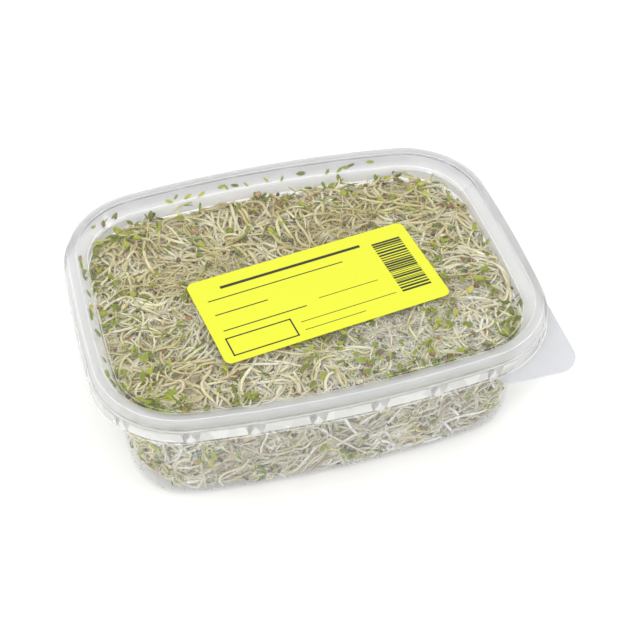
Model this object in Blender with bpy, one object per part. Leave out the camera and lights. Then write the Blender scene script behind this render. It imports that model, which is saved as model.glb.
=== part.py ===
"""A clear lidded tub full of alfalfa sprouts: the tub, its lid, a sticky label and the tangle inside.

Metres, +Z up. The origin is under the middle of the tub, on the surface it stands on. The long side
that faces -Y is the front, and the lid's lifting tab is at the +X -Y corner.
"""

import math
import random

import bmesh
import bpy
from mathutils import Vector

# Driving dimensions of the lid's plan: a rounded rectangle whose four sides bow outwards.
LID_LENGTH = 0.1800
LID_WIDTH = 0.1360
CORNER_RADIUS = 0.0363
LONG_SIDE_BOW = 0.0089
SHORT_SIDE_BOW = 0.0038

# Heights from the surface that the tub stands on.
FLANGE_HEIGHT = 0.0494
STEP_HEIGHT = FLANGE_HEIGHT + 0.0065
PANEL_HEIGHT = FLANGE_HEIGHT + 0.0066
LID_TOP = FLANGE_HEIGHT + 0.0107

WALL = 0.0008
GAP = 0.0003

# The tub's wall, as insets from the lid's plan.
TUB_INSET_AT_FLANGE = 0.0089
TUB_TAPER = 0.059
FOOT_RUN = 0.0084
FOOT_RISE = 0.0075
TUB_CORNER_LOSS = 0.0016

# The lid's plan insets.
PANEL_INSET = 0.0102
RIDGE_INNER_INSET = 0.0062
RIDGE_OUTER_INSET = 0.0028
STEP_INSET = 0.0009

# The lifting tab and the small snap lugs round the lid's lower band.
TAB_FRONT_START = 0.0575
TAB_SIDE_START = -0.0290
TAB_REACH_X = 0.0899
TAB_REACH_Y = -0.0679
TAB_CORNER = 0.0090
LUG_SPACING = 0.0229
LONG_SIDE_LUGS = 6
SHORT_SIDE_LUGS = 4
LUG_WIDTH = 0.0060
LUG_HEIGHT = 0.0050

LABEL_LENGTH = 0.0929
LABEL_WIDTH = 0.0446
LABEL_CORNER = 0.0028
LABEL_THICKNESS = 0.0003
LABEL_PLACE = (0.0040, -0.0085)
LABEL_TURN = math.radians(7.8)

# The tangle: a bumpy core, with stems, leaf pairs and hulls that stand out of it. They are about
# twice life size, so that fewer of them cover the core.
CORE_DEPTH = 0.0046
CORE_BUMP = 0.0010
STEM_RADIUS = 0.0012
STEM_REACH = 0.0026
STEM_SUNK = -0.0026
LEAF_LENGTH = 0.0088
LEAF_WIDTH = 0.0046
LEAF_THICKNESS = 0.0010
HULL_LENGTH = 0.0044
TOP_EDGE_INSET = 0.0150
BASE_EDGE_INSET = 0.0270
SIDE_LOWEST = 0.0100
SIDE_HIGHEST = 0.0474
STEMS = {"top": 44, "side": 42, "base": 5}
HEADS = {"top": 19, "side": 15}
HULLS = {"top": 8, "side": 6}
SEED = 12

# Steps of an even spread in two directions: powers of the root of x cubed = x + 1.
EVEN_SPREAD_A = 1 / 1.324718
EVEN_SPREAD_B = EVEN_SPREAD_A ** 2

LONG_STEPS = 3
CORNER_STEPS = 6
SHORT_STEPS = 3

LONG_ARC = ((LID_LENGTH / 2) ** 2 + LONG_SIDE_BOW ** 2) / (2 * LONG_SIDE_BOW)
SHORT_ARC = ((LID_WIDTH / 2) ** 2 + SHORT_SIDE_BOW ** 2) / (2 * SHORT_SIDE_BOW)


def quarter(inset, radius, steps):
    """Points of the +X +Y quarter of the plan, set in by inset, from the long side to the short side."""
    long_arc = LONG_ARC - inset
    short_arc = SHORT_ARC - inset
    long_centre = Vector((0.0, LID_WIDTH / 2 - LONG_ARC))
    short_centre = Vector((LID_LENGTH / 2 - SHORT_ARC, 0.0))
    to_long = long_arc - radius
    to_short = short_arc - radius
    between = short_centre - long_centre
    span = between.length
    along = (to_long ** 2 - to_short ** 2 + span ** 2) / (2 * span)
    across = math.sqrt(to_long ** 2 - along ** 2)
    unit = between / span
    corner_centre = long_centre + unit * along + Vector((unit.y, -unit.x)) * across
    start = corner_centre - long_centre
    end = corner_centre - short_centre
    start_angle = math.atan2(start.y, start.x)
    end_angle = math.atan2(end.y, end.x)
    arcs = (
        (long_centre, long_arc, math.pi / 2, start_angle, steps[0]),
        (corner_centre, radius, start_angle, end_angle, steps[1]),
        (short_centre, short_arc, end_angle, 0.0, steps[2]),
    )
    points = []
    for centre, arc, first, last, count in arcs:
        for step in range(count):
            angle = first + (last - first) * step / count
            points.append((centre.x + arc * math.cos(angle), centre.y + arc * math.sin(angle)))
    points.append((LID_LENGTH / 2 - inset, 0.0))
    return points


def plan(inset, radius, steps=(LONG_STEPS, CORNER_STEPS, SHORT_STEPS)):
    """The whole plan outline, clockwise from the middle of the +Y side."""
    points = quarter(inset, radius, steps)
    back_right = points[:-1]
    front_right = [(x, -y) for x, y in points[:0:-1]]
    front_left = [(-x, -y) for x, y in points[:-1]]
    back_left = [(-x, y) for x, y in points[:0:-1]]
    return back_right + front_right + front_left + back_left


def lid_corner(inset):
    return CORNER_RADIUS - inset


def tub_corner(inset, height):
    """The tub's corners are tighter than the lid's below the flange, and match it at the rim."""
    blend = min(1.0, max(0.0, (FLANGE_HEIGHT + 0.004 - height) / 0.008))
    return CORNER_RADIUS - inset - TUB_CORNER_LOSS * blend


def remove_everything():
    for item in list(bpy.data.objects):
        bpy.data.objects.remove(item)


def material(name, colour, roughness, alpha=1.0):
    made = bpy.data.materials.new(name)
    made.use_nodes = True
    shader = made.node_tree.nodes["Principled BSDF"]
    shader.inputs["Base Color"].default_value = (*colour, 1.0)
    shader.inputs["Roughness"].default_value = roughness
    shader.inputs["Metallic"].default_value = 0.0
    shader.inputs["Alpha"].default_value = alpha
    return made


def add_object(name, mesh, finish=None, collection=None):
    item = bpy.data.objects.new(name, mesh)
    (collection or bpy.context.scene.collection).objects.link(item)
    if finish:
        mesh.materials.append(finish)
    return item


def mesh_from(name, vertices, faces):
    """A closed mesh with its faces pointing out."""
    mesh = bpy.data.meshes.new(name)
    mesh.from_pydata([tuple(point) for point in vertices], [], faces)
    shape = bmesh.new()
    shape.from_mesh(mesh)
    bmesh.ops.recalc_face_normals(shape, faces=shape.faces)
    if shape.calc_volume(signed=True) < 0:
        bmesh.ops.reverse_faces(shape, faces=shape.faces)
    shape.to_mesh(mesh)
    shape.free()
    return mesh


def loft(name, rings):
    """A closed skin through rings of equal count, capped at both ends."""
    count = len(rings[0])
    vertices = [point for ring in rings for point in ring]
    faces = [tuple(range(count)), tuple(range(len(vertices) - count, len(vertices)))]
    for level in range(len(rings) - 1):
        low = level * count
        for place in range(count):
            following = (place + 1) % count
            faces.append((low + place, low + following, low + count + following, low + count + place))
    return mesh_from(name, vertices, faces)


def shade(mesh, angle=35.0):
    mesh.shade_smooth()
    mesh.set_sharp_from_angle(angle=math.radians(angle))


def triangulate(mesh):
    """Splits every face, so that no bent face is left for the union to cut."""
    shape = bmesh.new()
    shape.from_mesh(mesh)
    bmesh.ops.triangulate(shape, faces=shape.faces)
    shape.to_mesh(mesh)
    shape.free()


def join_into(body, extras):
    """Fuses every object of the extras collection into the body, and clears the extras away."""
    for item in [body, *extras.objects]:
        triangulate(item.data)
    union = body.modifiers.new("union", "BOOLEAN")
    union.operation = "UNION"
    union.operand_type = "COLLECTION"
    union.collection = extras
    union.solver = "MANIFOLD"
    graph = bpy.context.evaluated_depsgraph_get()
    fused = bpy.data.meshes.new_from_object(body.evaluated_get(graph))
    body.modifiers.clear()
    body.data = fused
    for item in list(extras.objects):
        bpy.data.objects.remove(item)
    bpy.data.collections.remove(extras)
    keep_largest_body(fused)


def keep_largest_body(mesh):
    """Drops any loose scrap that the union left."""
    shape = bmesh.new()
    shape.from_mesh(mesh)
    unseen = set(shape.verts)
    bodies = []
    while unseen:
        front = [unseen.pop()]
        body = set(front)
        while front:
            for edge in front.pop().link_edges:
                for vertex in edge.verts:
                    if vertex in unseen:
                        unseen.remove(vertex)
                        body.add(vertex)
                        front.append(vertex)
        bodies.append(body)
    bodies.sort(key=len)
    scraps = [vertex for body in bodies[:-1] for vertex in body]
    bmesh.ops.delete(shape, geom=scraps, context="VERTS")
    shape.to_mesh(mesh)
    shape.free()


def helper_collection(name):
    made = bpy.data.collections.new(name)
    bpy.context.scene.collection.children.link(made)
    made.hide_render = True
    return made


def wall_inset(height, wall=0.0):
    """Inset of the tub's outer face at a height, or with wall given of its inner face."""
    straight = TUB_INSET_AT_FLANGE + TUB_TAPER * (FLANGE_HEIGHT - max(height, FOOT_RISE)) + wall
    if height >= FOOT_RISE:
        return straight
    drop = (FOOT_RISE - height) / (FOOT_RISE - wall)
    return straight + (FOOT_RUN - wall / 2) * (1 - math.sqrt(max(0.0, 1 - drop ** 2)))


def foot_heights(wall):
    """Heights up the rounded foot, close together where it turns under."""
    return [FOOT_RISE - (FOOT_RISE - wall) * math.sin(math.radians(turn)) for turn in (90, 68, 45, 22, 0)]


def tub_profile():
    """(inset, height) from the middle of the base, up the outside, over the hooked rim and down the inside."""
    rim = FLANGE_HEIGHT
    outside = [(wall_inset(0.0) + 0.001, 0.0)]
    outside += [(wall_inset(height), height) for height in foot_heights(0.0)]
    outside += [(wall_inset(height), height) for height in (0.022, 0.038, rim)]
    hook = [
        (0.0090, rim + 0.0042),
        (0.0081, rim + 0.00535),
        (0.0053, rim + 0.0085),
        (0.0047, rim + 0.0087),
        (0.00445, rim + 0.0052),
        (0.00365, rim + 0.0052),
        (0.00395, rim + 0.0091),
        (0.0043, rim + 0.0095),
        (0.0055, rim + 0.0095),
        (0.0059, rim + 0.0091),
        (0.0087, rim + 0.0059),
        (0.0098, rim + 0.0042),
    ]
    inside = [(wall_inset(height, WALL), height) for height in (rim, 0.038, 0.022)]
    inside += [(wall_inset(height, WALL), height) for height in foot_heights(WALL)[::-1]]
    inside.append((wall_inset(WALL, WALL) + 0.001, WALL))
    return outside + hook + inside


def make_tub():
    rings = [
        [(x, y, height) for x, y in plan(inset, tub_corner(inset, height))]
        for inset, height in tub_profile()
    ]
    tub = add_object("tub", loft("tub", rings), material("clear_tub", (0.86, 0.88, 0.87), 0.12, 0.30))
    shade(tub.data)
    return tub


def lid_profile():
    """(inset, height) from the middle of the panel, over the ridge, down the skirt and back underneath."""
    rim = FLANGE_HEIGHT
    band = STEP_INSET - 0.00005
    upper = [
        (PANEL_INSET + 0.0010, PANEL_HEIGHT),
        (PANEL_INSET, PANEL_HEIGHT),
        (PANEL_INSET - 0.0005, PANEL_HEIGHT + 0.00015),
        (RIDGE_INNER_INSET + 0.0002, LID_TOP - 0.0003),
        (RIDGE_INNER_INSET - 0.0003, LID_TOP),
        (RIDGE_OUTER_INSET + 0.0003, LID_TOP),
        (RIDGE_OUTER_INSET - 0.0003, LID_TOP - 0.0003),
        (0.00175, STEP_HEIGHT + 0.0003),
        (0.0016, STEP_HEIGHT + 0.0001),
        (STEP_INSET, STEP_HEIGHT - 0.0001),
        (band, rim + WALL + 0.0001),
        (0.0, rim + WALL),
    ]
    lower = [
        (0.0, rim),
        (band + WALL, rim),
        (STEP_INSET + WALL, STEP_HEIGHT - WALL - 0.0001),
        (0.0024, STEP_HEIGHT - WALL + 0.0001),
        (0.00255, STEP_HEIGHT - 0.0004),
        (0.0033, LID_TOP - WALL - 0.0002),
        (0.0036, LID_TOP - WALL),
        (RIDGE_INNER_INSET - 0.0007, LID_TOP - WALL),
        (RIDGE_INNER_INSET - 0.0004, LID_TOP - WALL - 0.0001),
        (0.0091, PANEL_HEIGHT - 0.0004),
        (0.0100, PANEL_HEIGHT - WALL),
        (PANEL_INSET + 0.0010, PANEL_HEIGHT - WALL),
    ]
    return upper + lower


def plate(name, outline, low, high):
    """A flat plate with the given outline, between two heights."""
    return loft(name, [[(x, y, height) for x, y in outline] for height in (low, high)])


def add_lifting_tab(extras):
    """A flat square-cornered plate that grows out of the lip at the +X -Y corner."""
    root = [(x, -y) for x, y in quarter(STEP_INSET + 0.0004, CORNER_RADIUS - STEP_INSET, (12, 12, 12))]
    root = [(x, y) for x, y in root if x > TAB_FRONT_START and y < TAB_SIDE_START]
    centre = (TAB_REACH_X - TAB_CORNER, TAB_REACH_Y + TAB_CORNER)
    corner = []
    for step in range(7):
        angle = -math.pi / 2 * step / 6
        corner.append((centre[0] + TAB_CORNER * math.cos(angle), centre[1] + TAB_CORNER * math.sin(angle)))
    outline = root + [(TAB_REACH_X, TAB_SIDE_START - 0.004)] + corner + [(TAB_FRONT_START + 0.001, TAB_REACH_Y)]
    low = FLANGE_HEIGHT + 0.0001
    add_object("tab", plate("tab", outline, low, FLANGE_HEIGHT + WALL - 0.0001), None, extras)


def add_lug(extras, place, outwards):
    """One three-cornered lug: wide and proud at the flange, with its point at the step."""
    side = Vector((-outwards.y, outwards.x, 0.0)) * (LUG_WIDTH / 2)
    foot = FLANGE_HEIGHT + WALL / 2
    base = Vector((place.x, place.y, foot)) - outwards * 0.0005
    proud = base + outwards * 0.0012
    vertices = [base - side, base + side, base + Vector((0.0, 0.0, LUG_HEIGHT)), proud]
    faces = [(0, 1, 2), (0, 1, 3), (1, 2, 3), (2, 0, 3)]
    add_object("lug", mesh_from("lug", vertices, faces), None, extras)


def add_lugs(extras):
    skin = STEP_INSET
    for number in range(LONG_SIDE_LUGS):
        across = (number - (LONG_SIDE_LUGS - 1) / 2) * LUG_SPACING
        for way in (1, -1):
            centre_y = LID_WIDTH / 2 - LONG_ARC
            reach = math.sqrt((LONG_ARC - skin) ** 2 - across ** 2)
            outwards = Vector((across, way * reach, 0.0)).normalized()
            add_lug(extras, Vector((across, way * (centre_y + reach), 0.0)), outwards)
    for number in range(SHORT_SIDE_LUGS):
        across = (number - (SHORT_SIDE_LUGS - 1) / 2) * LUG_SPACING * 0.8
        for way in (1, -1):
            centre_x = LID_LENGTH / 2 - SHORT_ARC
            reach = math.sqrt((SHORT_ARC - skin) ** 2 - across ** 2)
            outwards = Vector((way * reach, across, 0.0)).normalized()
            add_lug(extras, Vector((way * (centre_x + reach), across, 0.0)), outwards)


def make_lid():
    rings = [[(x, y, height) for x, y in plan(inset, lid_corner(inset))] for inset, height in lid_profile()]
    lid = add_object("lid", loft("lid", rings), None)
    extras = helper_collection("lid_extras")
    add_lifting_tab(extras)
    add_lugs(extras)
    join_into(lid, extras)
    lid.data.materials.clear()
    lid.data.materials.append(material("milky_lid", (0.90, 0.91, 0.91), 0.20, 0.35))
    shade(lid.data)
    return lid


def make_label():
    """A thin rounded rectangle that lies on the lid's panel."""
    outline = []
    for quadrant in range(4):
        turn = quadrant * math.pi / 2
        sign_x = 1 if quadrant in (0, 3) else -1
        sign_y = 1 if quadrant in (0, 1) else -1
        centre_x = sign_x * (LABEL_LENGTH / 2 - LABEL_CORNER)
        centre_y = sign_y * (LABEL_WIDTH / 2 - LABEL_CORNER)
        for step in range(5):
            angle = turn + step * math.pi / 8
            outline.append((centre_x + LABEL_CORNER * math.cos(angle), centre_y + LABEL_CORNER * math.sin(angle)))
    label = add_object(
        "label", plate("label", outline, 0.0, LABEL_THICKNESS), material("yellow_label", (0.93, 0.98, 0.04), 0.45)
    )
    label.location = (*LABEL_PLACE, PANEL_HEIGHT + GAP)
    label.rotation_euler.z = LABEL_TURN
    shade(label.data)
    return label


class WallGuide:
    """Points and outward directions along the inside of the tub's wall, found by distance along it."""

    def __init__(self):
        self.reference = 0.0115
        steps = (16, 16, 12)
        outline = plan(self.reference, tub_corner(self.reference, 0.0), steps)
        self.points = [Vector(point) for point in outline]
        self.lengths = [0.0]
        for number, point in enumerate(self.points):
            following = self.points[(number + 1) % len(self.points)]
            self.lengths.append(self.lengths[-1] + (following - point).length)
        self.total = self.lengths[-1]

    def at(self, distance):
        distance %= self.total
        number = 0
        while self.lengths[number + 1] < distance:
            number += 1
        here = self.points[number]
        following = self.points[(number + 1) % len(self.points)]
        after = self.points[(number + 2) % len(self.points)]
        before = self.points[number - 1]
        share = (distance - self.lengths[number]) / (self.lengths[number + 1] - self.lengths[number])
        direction = (following - before).lerp(after - here, share).normalized()
        return here.lerp(following, share), Vector((-direction.y, direction.x))


GUIDE = WallGuide()
CORE_TOP = PANEL_HEIGHT - WALL - CORE_DEPTH
CORE_BASE = WALL + CORE_DEPTH


def on_side(along, height, proud):
    """A point proud of the core's side by so much, at a distance along the wall and a height."""
    point, outwards = GUIDE.at(along)
    shift = GUIDE.reference - wall_inset(height, WALL) - CORE_DEPTH + proud
    return Vector((point.x + outwards.x * shift, point.y + outwards.y * shift, height))


def on_top(x, y, proud):
    return Vector((x, y, CORE_TOP + proud))


def on_base(x, y, proud):
    return Vector((x, y, CORE_BASE - proud))


def inside_plan(x, y, inset):
    """Pulls a point in until it is at least inset from the lid's outline."""
    corner = CORNER_RADIUS - inset
    for _ in range(12):
        over_x = abs(x) - (LID_LENGTH / 2 - CORNER_RADIUS - 0.002)
        over_y = abs(y) - (LID_WIDTH / 2 - CORNER_RADIUS - 0.002)
        in_corner = over_x > 0 and over_y > 0 and math.hypot(over_x, over_y) > corner
        past_long = abs(y) > LID_WIDTH / 2 - inset - x * x / (2 * LONG_ARC)
        past_short = abs(x) > LID_LENGTH / 2 - inset - y * y / (2 * SHORT_ARC)
        if not (in_corner or past_long or past_short):
            break
        x *= 0.95
        y *= 0.95
    return x, y


def make_core(draw):
    """The closed bumpy core: base rings, side rings and top rings round two middle points."""
    steps = (3, 4, 2)
    rings = []

    def ring(inset, height, shrink=1.0):
        outline = plan(inset, max(0.006, tub_corner(inset, height) - 0.002), steps)
        rings.append([
            (
                x * shrink + draw.uniform(-CORE_BUMP, CORE_BUMP),
                y * shrink + draw.uniform(-CORE_BUMP, CORE_BUMP),
                height + draw.uniform(-CORE_BUMP, CORE_BUMP),
            )
            for x, y in outline
        ])

    foot = wall_inset(CORE_BASE + 0.003, WALL) + CORE_DEPTH + 0.002
    for shrink in (0.35, 0.75):
        ring(foot, CORE_BASE, shrink)
    ring(foot, CORE_BASE)
    for height in (0.009, 0.022, 0.036, 0.049):
        ring(wall_inset(height, WALL) + CORE_DEPTH, height)
    edge = TUB_INSET_AT_FLANGE + WALL + CORE_DEPTH + 0.002
    ring(edge, CORE_TOP)
    for shrink in (0.78, 0.52, 0.26):
        ring(edge, CORE_TOP, shrink)
    return loft("sprouts", rings)


def tube_between(points, radii, ups, sides=3):
    """A closed tube of few sides along the points."""
    vertices = []
    for number, point in enumerate(points):
        before = points[max(0, number - 1)]
        after = points[min(len(points) - 1, number + 1)]
        ahead = (after - before).normalized()
        across = ahead.cross(ups[number]).normalized()
        upright = across.cross(ahead)
        for side in range(sides):
            angle = 2 * math.pi * (side + 0.25 * sides) / sides
            offset = across * math.cos(angle) + upright * math.sin(angle)
            vertices.append(point + offset * radii[number])
    faces = [tuple(range(sides)), tuple(range(len(vertices) - sides, len(vertices)))]
    for level in range(len(points) - 1):
        low = level * sides
        for side in range(sides):
            following = (side + 1) % sides
            faces.append((low + side, low + following, low + sides + following, low + sides + side))
    return vertices, faces


def wander(draw, middle, length, count, bend, region, margin):
    """Points of a curved run across one face, laid both ways from its middle and kept inside the face."""
    heading = draw.uniform(0, 2 * math.pi)
    curve = draw.uniform(-bend, bend)
    pace = length / (count - 1)
    halves = []
    for way in (-1, 1):
        a, b = middle
        half = []
        for step in range(1, count // 2 + 1):
            turned = heading + way * curve * (step - 0.5) / (count - 1)
            a, b = region(a + way * pace * math.cos(turned), b + way * pace * math.sin(turned), margin)
            half.append((a, b))
        halves.append(half)
    return halves[0][::-1] + [middle] + halves[1]


def top_region(x, y, margin):
    return inside_plan(x, y, TOP_EDGE_INSET + margin)


def base_region(x, y, margin):
    return inside_plan(x, y, BASE_EDGE_INSET + margin)


def side_region(along, height, margin):
    return along, min(SIDE_HIGHEST - margin, max(SIDE_LOWEST + margin, height))


def face_spot(draw, face, number, count, margin=0.0):
    """The number-th of count spots spread evenly over a face, each shifted a little at random."""
    first = (number * EVEN_SPREAD_A + draw.uniform(-0.2, 0.2) / math.sqrt(count)) % 1.0
    second = (number * EVEN_SPREAD_B + draw.uniform(-0.2, 0.2) / math.sqrt(count)) % 1.0
    if face == "side":
        low = SIDE_LOWEST + margin
        return first * GUIDE.total, low + second * (SIDE_HIGHEST - margin - low)
    limit = top_region if face == "top" else base_region
    x = (first - 0.5) * (LID_LENGTH - 2 * TOP_EDGE_INSET)
    y = (second - 0.5) * (LID_WIDTH - 2 * TOP_EDGE_INSET)
    return limit(x, y, margin)


FACES = {
    "top": (on_top, top_region),
    "side": (on_side, side_region),
    "base": (on_base, base_region),
}


def up_at(place, a, b):
    return (place(a, b, 0.001) - place(a, b, 0.0)).normalized()


def add_stem(draw, face, number, count, extras):
    """One stem that arches out of the core and dives back into it at both ends."""
    place, region = FACES[face]
    length = draw.uniform(0.024, 0.044)
    run = wander(draw, face_spot(draw, face, number, count), length, 5, 2.2, region, 0.0)
    arch = draw.uniform(0.0014, STEM_REACH)
    rises = (STEM_SUNK, arch * 0.65, arch, arch * 0.75, STEM_SUNK)
    radius = STEM_RADIUS * draw.uniform(0.75, 1.1)
    radii = [radius * 0.9, radius, radius, radius * 0.95, radius * 0.8]
    points = [place(a, b, rise) for (a, b), rise in zip(run, rises)]
    if min((second - first).length for first, second in zip(points, points[1:])) < 0.002:
        return
    ups = [up_at(place, a, b) for a, b in run]
    vertices, faces = tube_between(points, radii, ups)
    add_object("stem", mesh_from("stem", vertices, faces), None, extras)


def leaf_pair_outline(spread):
    """Outline of two oval seed leaves that meet at their base, as (ahead, across) in metres."""
    lobe = ((0.10, 0.36), (0.60, 0.50), (1.0, 0.0), (0.60, -0.46))
    right = []
    for u, v in lobe:
        ahead = u * LEAF_LENGTH
        across = v * LEAF_WIDTH
        right.append((
            ahead * math.cos(spread) - across * math.sin(spread),
            ahead * math.sin(spread) + across * math.cos(spread),
        ))
    right = [point for point in right if point[1] > 0.0002]
    left = [(ahead, -across) for ahead, across in reversed(right)]
    return [(-0.0008, 0.0)] + right + left


def add_leaf_pair(place, base, heading, proud, spread, extras):
    """Two seed leaves in one thin blade, laid along the face they grow on."""
    outline = leaf_pair_outline(spread)
    vertices = []
    for layer in (-0.5, 0.5):
        for ahead, across in outline:
            a = base[0] + math.cos(heading) * ahead - math.sin(heading) * across
            b = base[1] + math.sin(heading) * ahead + math.cos(heading) * across
            vertices.append(place(a, b, proud + layer * LEAF_THICKNESS))
    count = len(outline)
    faces = [tuple(range(count)), tuple(range(count, 2 * count))]
    for number in range(count):
        following = (number + 1) % count
        faces.append((number, following, count + following, count + number))
    add_object("leaves", mesh_from("leaves", vertices, faces), None, extras)


def add_head(draw, face, number, count, extras):
    """A short stem that comes out of the core and carries a pair of seed leaves."""
    place, region = FACES[face]
    margin = LEAF_LENGTH * 0.7
    length = draw.uniform(0.010, 0.015)
    run = wander(draw, face_spot(draw, face, number, count, margin), length, 3, 0.8, region, margin)
    proud = draw.uniform(0.0014, 0.0026)
    points = [place(*run[0], STEM_SUNK), place(*run[1], proud * 0.6), place(*run[2], proud)]
    if min((second - first).length for first, second in zip(points, points[1:])) < 0.002:
        return
    ups = [up_at(place, a, b) for a, b in run]
    radii = [STEM_RADIUS, STEM_RADIUS * 0.85, STEM_RADIUS * 0.7]
    vertices, faces = tube_between(points, radii, ups)
    add_object("stem", mesh_from("stem", vertices, faces), None, extras)
    heading = math.atan2(run[2][1] - run[1][1], run[2][0] - run[1][0])
    add_leaf_pair(place, run[2], heading, proud, draw.uniform(0.5, 0.9), extras)


def add_hull(draw, face, number, count, extras):
    """One seed hull: a small faceted bean half sunk in the core."""
    place, _ = FACES[face]
    a, b = face_spot(draw, face, number + 0.5, count)
    centre = place(a, b, 0.0006)
    up = up_at(place, a, b)
    ahead = (place(a + 0.001, b, 0.0) - place(a, b, 0.0)).normalized()
    turn = draw.uniform(0, math.pi)
    side = up.cross(ahead)
    ahead = ahead * math.cos(turn) + side * math.sin(turn)
    side = up.cross(ahead)
    vertices = [centre + ahead * HULL_LENGTH / 2, centre - ahead * HULL_LENGTH / 2]
    for step in range(5):
        angle = 2 * math.pi * step / 5
        girth = side * (0.36 * math.cos(angle)) + up * (0.33 * math.sin(angle))
        vertices.append(centre + girth * HULL_LENGTH)
    faces = []
    for step in range(5):
        following = 2 + (step + 1) % 5
        faces.append((0, 2 + step, following))
        faces.append((1, following, 2 + step))
    add_object("hull", mesh_from("hull", vertices, faces), None, extras)


def make_sprouts():
    draw = random.Random(SEED)
    sprouts = add_object("sprouts", make_core(draw), None)
    extras = helper_collection("sprout_pieces")
    for kinds, add in ((STEMS, add_stem), (HEADS, add_head), (HULLS, add_hull)):
        for face, count in kinds.items():
            for number in range(count):
                add(draw, face, number, count, extras)
    join_into(sprouts, extras)
    sprouts.data.materials.clear()
    sprouts.data.materials.append(material("sprout_cream", (0.74, 0.72, 0.52), 0.45))
    shade(sprouts.data, 50.0)
    return sprouts


def main():
    remove_everything()
    make_tub()
    make_lid()
    make_label()
    make_sprouts()


main()
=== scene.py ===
"""Looks of a clear lidded tub full of alfalfa sprouts, in metres, +Z up, front long side towards -Y.

The plastic is lofted again from the outlines of the solids, with rounded folds, windows and lugs. The
tangle is some thousands of curved stems, seed leaves, hulls and root hairs in layers over a bumpy core.
"""

import math

import bpy
import numpy as np
from mathutils import Matrix, Vector


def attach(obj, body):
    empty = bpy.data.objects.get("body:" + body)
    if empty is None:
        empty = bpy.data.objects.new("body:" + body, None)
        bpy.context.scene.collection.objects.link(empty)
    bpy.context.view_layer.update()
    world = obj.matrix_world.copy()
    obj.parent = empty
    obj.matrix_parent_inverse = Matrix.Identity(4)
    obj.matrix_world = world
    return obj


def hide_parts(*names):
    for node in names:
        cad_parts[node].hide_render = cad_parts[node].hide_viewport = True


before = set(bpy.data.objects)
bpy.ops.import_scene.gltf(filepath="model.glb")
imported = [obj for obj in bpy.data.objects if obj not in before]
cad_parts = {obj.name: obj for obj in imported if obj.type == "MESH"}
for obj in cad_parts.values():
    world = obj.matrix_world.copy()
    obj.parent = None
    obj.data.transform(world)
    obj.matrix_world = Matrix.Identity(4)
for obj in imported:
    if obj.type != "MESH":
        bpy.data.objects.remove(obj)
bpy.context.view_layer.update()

# The camera, from the outlines of the lid and the tub's foot in the photograph.
CAMERA_PLACE = (-0.09953, -0.34755, 0.41346)
CAMERA_RIGHT = (0.95999, -0.27965, 0.01474)
CAMERA_UP = (0.19328, 0.69977, 0.68773)
CAMERA_AHEAD = (0.20264, 0.65736, -0.72582)
CAMERA_LENS = 73.256
SENSOR = 36.0
TUB_MIDDLE = Vector((0.0, 0.0, 0.03))

# Plan of the lid, a rounded rectangle whose four sides bow outwards.
LID_LENGTH = 0.1800
LID_WIDTH = 0.1360
CORNER_RADIUS = 0.0363
LONG_SIDE_BOW = 0.0089
SHORT_SIDE_BOW = 0.0038
LONG_ARC = ((LID_LENGTH / 2) ** 2 + LONG_SIDE_BOW ** 2) / (2 * LONG_SIDE_BOW)
SHORT_ARC = ((LID_WIDTH / 2) ** 2 + SHORT_SIDE_BOW ** 2) / (2 * SHORT_SIDE_BOW)
PLAN_STEPS = (20, 18, 14)

# Heights.
FLANGE_HEIGHT = 0.0494
STEP_HEIGHT = FLANGE_HEIGHT + 0.0065
PANEL_HEIGHT = FLANGE_HEIGHT + 0.0066
LID_TOP = FLANGE_HEIGHT + 0.0107
WALL = 0.0008
CLEAR = 0.0001

# The tub's wall and the lid's rings, as insets from the lid's plan.
TUB_INSET_AT_FLANGE = 0.0089
TUB_TAPER = 0.059
FOOT_RUN = 0.0084
FOOT_RISE = 0.0075
TUB_CORNER_LOSS = 0.0016
MIST_INSET = 0.0060
PANEL_INSET = 0.0102
RIDGE_INNER_INSET = 0.0062
RIDGE_OUTER_INSET = 0.0028
STEP_INSET = 0.0009
SLOPE_OUT = 0.676
SLOPE_UP = 0.737

# Lifting tab, snap lugs and the windows between them.
TAB_FRONT_START = 0.0575
TAB_SIDE_START = -0.0290
TAB_REACH_X = 0.0899
TAB_REACH_Y = -0.0679
TAB_CORNER = 0.0090
LUG_SPACING = 0.0229
LUG_SHIFT = 0.0012
SHORT_LUG_SPACING = LUG_SPACING * 0.8
LONG_SIDE_LUGS = 6
SHORT_SIDE_LUGS = 4
LUG_WIDTH = 0.0054
LUG_HEIGHT = 0.0050
LUG_FACES = ((0, 1, 2), (3, 0, 2), (1, 3, 2), (0, 3, 1))
WINDOW_PROUD = 0.0003
# The windows' colour: their milk, made paler than the lid's as painted reflection.
WINDOW_MILK_AND_GLEAM = (0.72, 0.72, 0.69)
FOLD = 0.00022

# The label.
LABEL_LENGTH = 0.0929
LABEL_WIDTH = 0.0446
LABEL_CORNER = 0.0028
LABEL_THICKNESS = 0.0003
LABEL_PLACE = (0.0040, -0.0085)
LABEL_TURN = math.radians(7.8)
LABEL_LOW = PANEL_HEIGHT + 0.0003
THIN_BAR = 0.00033

# The tangle: where it ends, how its top falls towards the lid's edge, and its gaps to the tub's wall.
SEED = 7
TANGLE_TOP = PANEL_HEIGHT - WALL - CLEAR
TANGLE_BASE = WALL + CLEAR
CORE_DEPTH = 0.0044
SIDE_LOW = 0.0012
SIDE_TOP = FLANGE_HEIGHT + 0.0055
EDGE_START = 0.0098
EDGE_RUN = 0.0110
DROP_FRONT = 0.0006
DROP_BACK = 0.0038
HILLS = 0.0004
GAP_FRONT_LEFT = 0.0032
GAP_FRONT_RIGHT = 0.0002
GAP_BACK = 0.0010
GAP_RIGHT = 0.0004
FOOT_GAP = 0.0001

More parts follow.
